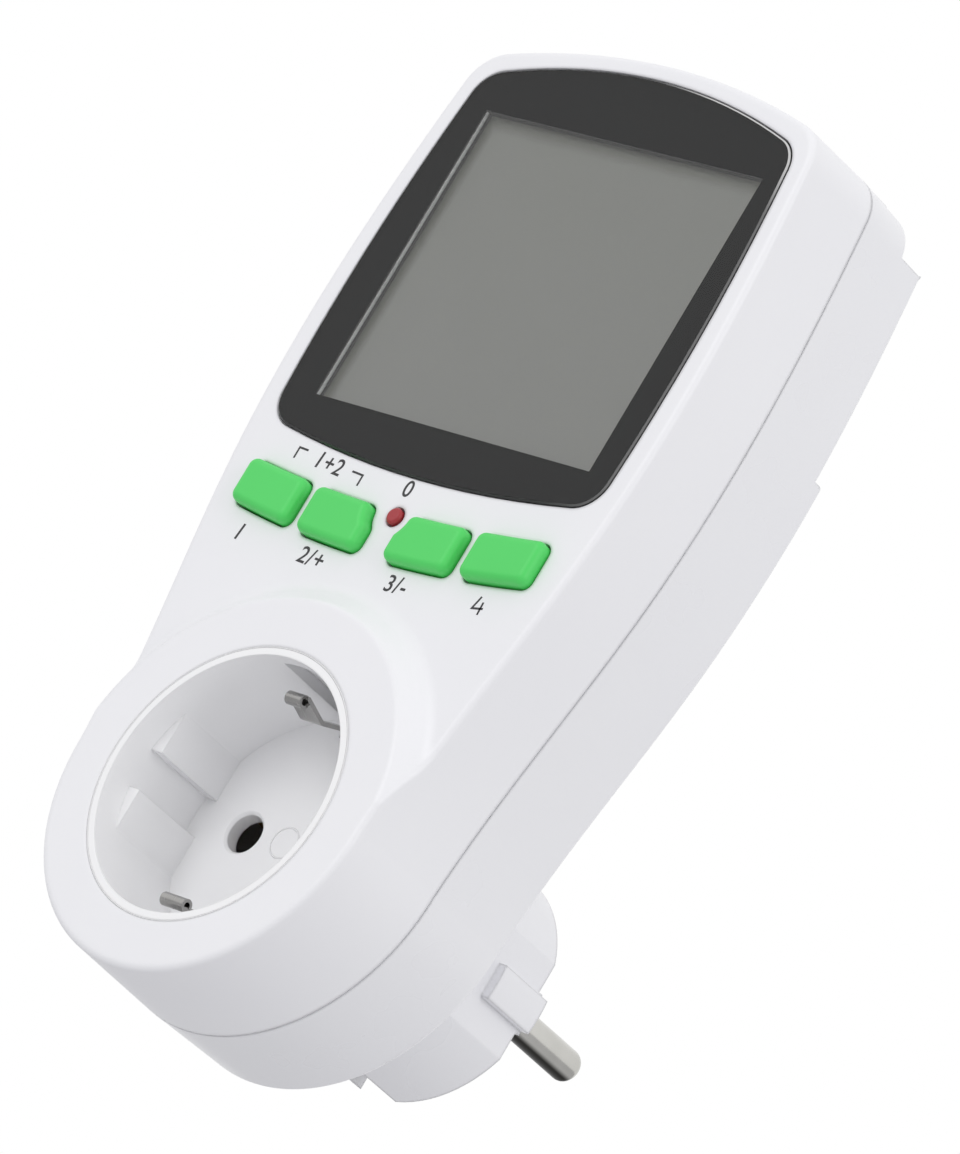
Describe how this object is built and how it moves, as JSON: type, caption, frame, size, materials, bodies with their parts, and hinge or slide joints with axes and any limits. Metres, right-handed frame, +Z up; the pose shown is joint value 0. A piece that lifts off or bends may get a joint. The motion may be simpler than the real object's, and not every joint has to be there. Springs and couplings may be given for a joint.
{
  "type": "smart energy monitor",
  "caption": "Plug-through energy meter with a wall plug behind, an earthed socket in front, a display and push buttons above it.",
  "frame": {"origin": "middle of the plug's mating face, between the two pins", "axes": "+Y points into the wall socket, along the pins; +Z up, from the socket towards the display; +X to the right seen from the front"},
  "size_m": [0.0732, 0.0745, 0.1454],
  "materials": {
    "white_plastic": "moulded white ABS, glossy",
    "pin_plate_plastic": "moulded white, matt",
    "green_caps": "moulded green, satin",
    "red_cap": "moulded red, satin",
    "switch_plastic": "moulded black",
    "clear_window": "clear acrylic, polished",
    "black_border": "printed black behind the window",
    "display_glass": "liquid crystal cell, switched off",
    "reflector_film": "matt reflector film",
    "holder_plastic": "moulded white, matt",
    "zebra_rubber": "layered conductive rubber",
    "circuit_board": "green solder resist on glass epoxy",
    "plated_pins": "nickel-plated brass",
    "spring_brass": "punched and bent brass strip",
    "earth_clip_metal": "nickel-plated spring steel",
    "shunt_alloy": "copper-manganese alloy strip",
    "chip_plastic": "moulded epoxy, matt",
    "crystal_can": "drawn metal can",
    "battery_wrap": "shrunk sleeve over three button cells",
    "film_capacitor": "moulded box, yellow",
    "electrolytic_sleeve": "aluminium can in a dark sleeve",
    "varistor_coating": "epoxy-dipped ceramic disc",
    "header_plastic": "moulded pin header",
    "screw_steel": "zinc-plated steel"
  },
  "bodies": {
    "housing": {"backup_battery": "battery_wrap", "board_link": "header_plastic", "case_screws": "screw_steel", "clock_crystal": "crystal_can", "controller_chip": "chip_plastic", "current_shunt": "shunt_alloy", "display_board": "circuit_board", "display_board_screws": "screw_steel", "display_glass": "display_glass", "display_holder": "holder_plastic", "display_reflector": "reflector_film", "display_window": "clear_window", "earth_rivet": "spring_brass", "electrolytic_capacitors": "electrolytic_sleeve", "film_capacitor": "film_capacitor", "front_cover": "white_plastic", "live_contact": "spring_brass", "live_feed": "spring_brass", "live_pin": "plated_pins", "metering_chip": "chip_plastic", "neutral_contact": "spring_brass", "neutral_feed": "spring_brass", "neutral_link": "spring_brass", "neutral_pin": "plated_pins", "pin_plate": "pin_plate_plastic", "plug_earth_clip": "earth_clip_metal", "power_board": "circuit_board", "power_board_screws": "screw_steel", "rear_cover": "white_plastic", "socket_earth_clip": "earth_clip_metal", "socket_insert": "white_plastic", "surge_varistor": "varistor_coating", "switch_bodies": "switch_plastic", "window_border": "black_border", "zebra_strip": "zebra_rubber"},
    "button_left_outer": {"button_left_outer": "green_caps", "plunger_left_outer": "switch_plastic"},
    "button_left_inner": {"button_left_inner": "green_caps", "plunger_left_inner": "switch_plastic"},
    "button_right_inner": {"button_right_inner": "green_caps", "plunger_right_inner": "switch_plastic"},
    "button_right_outer": {"button_right_outer": "green_caps", "plunger_right_outer": "switch_plastic"},
    "reset": {"reset_button": "red_cap", "reset_plunger": "switch_plastic"}
  },
  "joints": [
    {"name": "button_left_outer_press", "type": "slide", "parent": "housing", "child": "button_left_outer", "axis": [0, 1, 0], "range_m": [0, 0.0005], "stiffness_N_per_m": 2400},
    {"name": "button_left_inner_press", "type": "slide", "parent": "housing", "child": "button_left_inner", "axis": [0, 1, 0], "range_m": [0, 0.0005], "stiffness_N_per_m": 2400},
    {"name": "button_right_inner_press", "type": "slide", "parent": "housing", "child": "button_right_inner", "axis": [0, 1, 0], "range_m": [0, 0.0005], "stiffness_N_per_m": 2400},
    {"name": "button_right_outer_press", "type": "slide", "parent": "housing", "child": "button_right_outer", "axis": [0, 1, 0], "range_m": [0, 0.0005], "stiffness_N_per_m": 2400},
    {"name": "reset_press", "type": "slide", "parent": "housing", "child": "reset", "axis": [0, 1, 0], "range_m": [0, 0.0005], "stiffness_N_per_m": 2400}
  ]
}
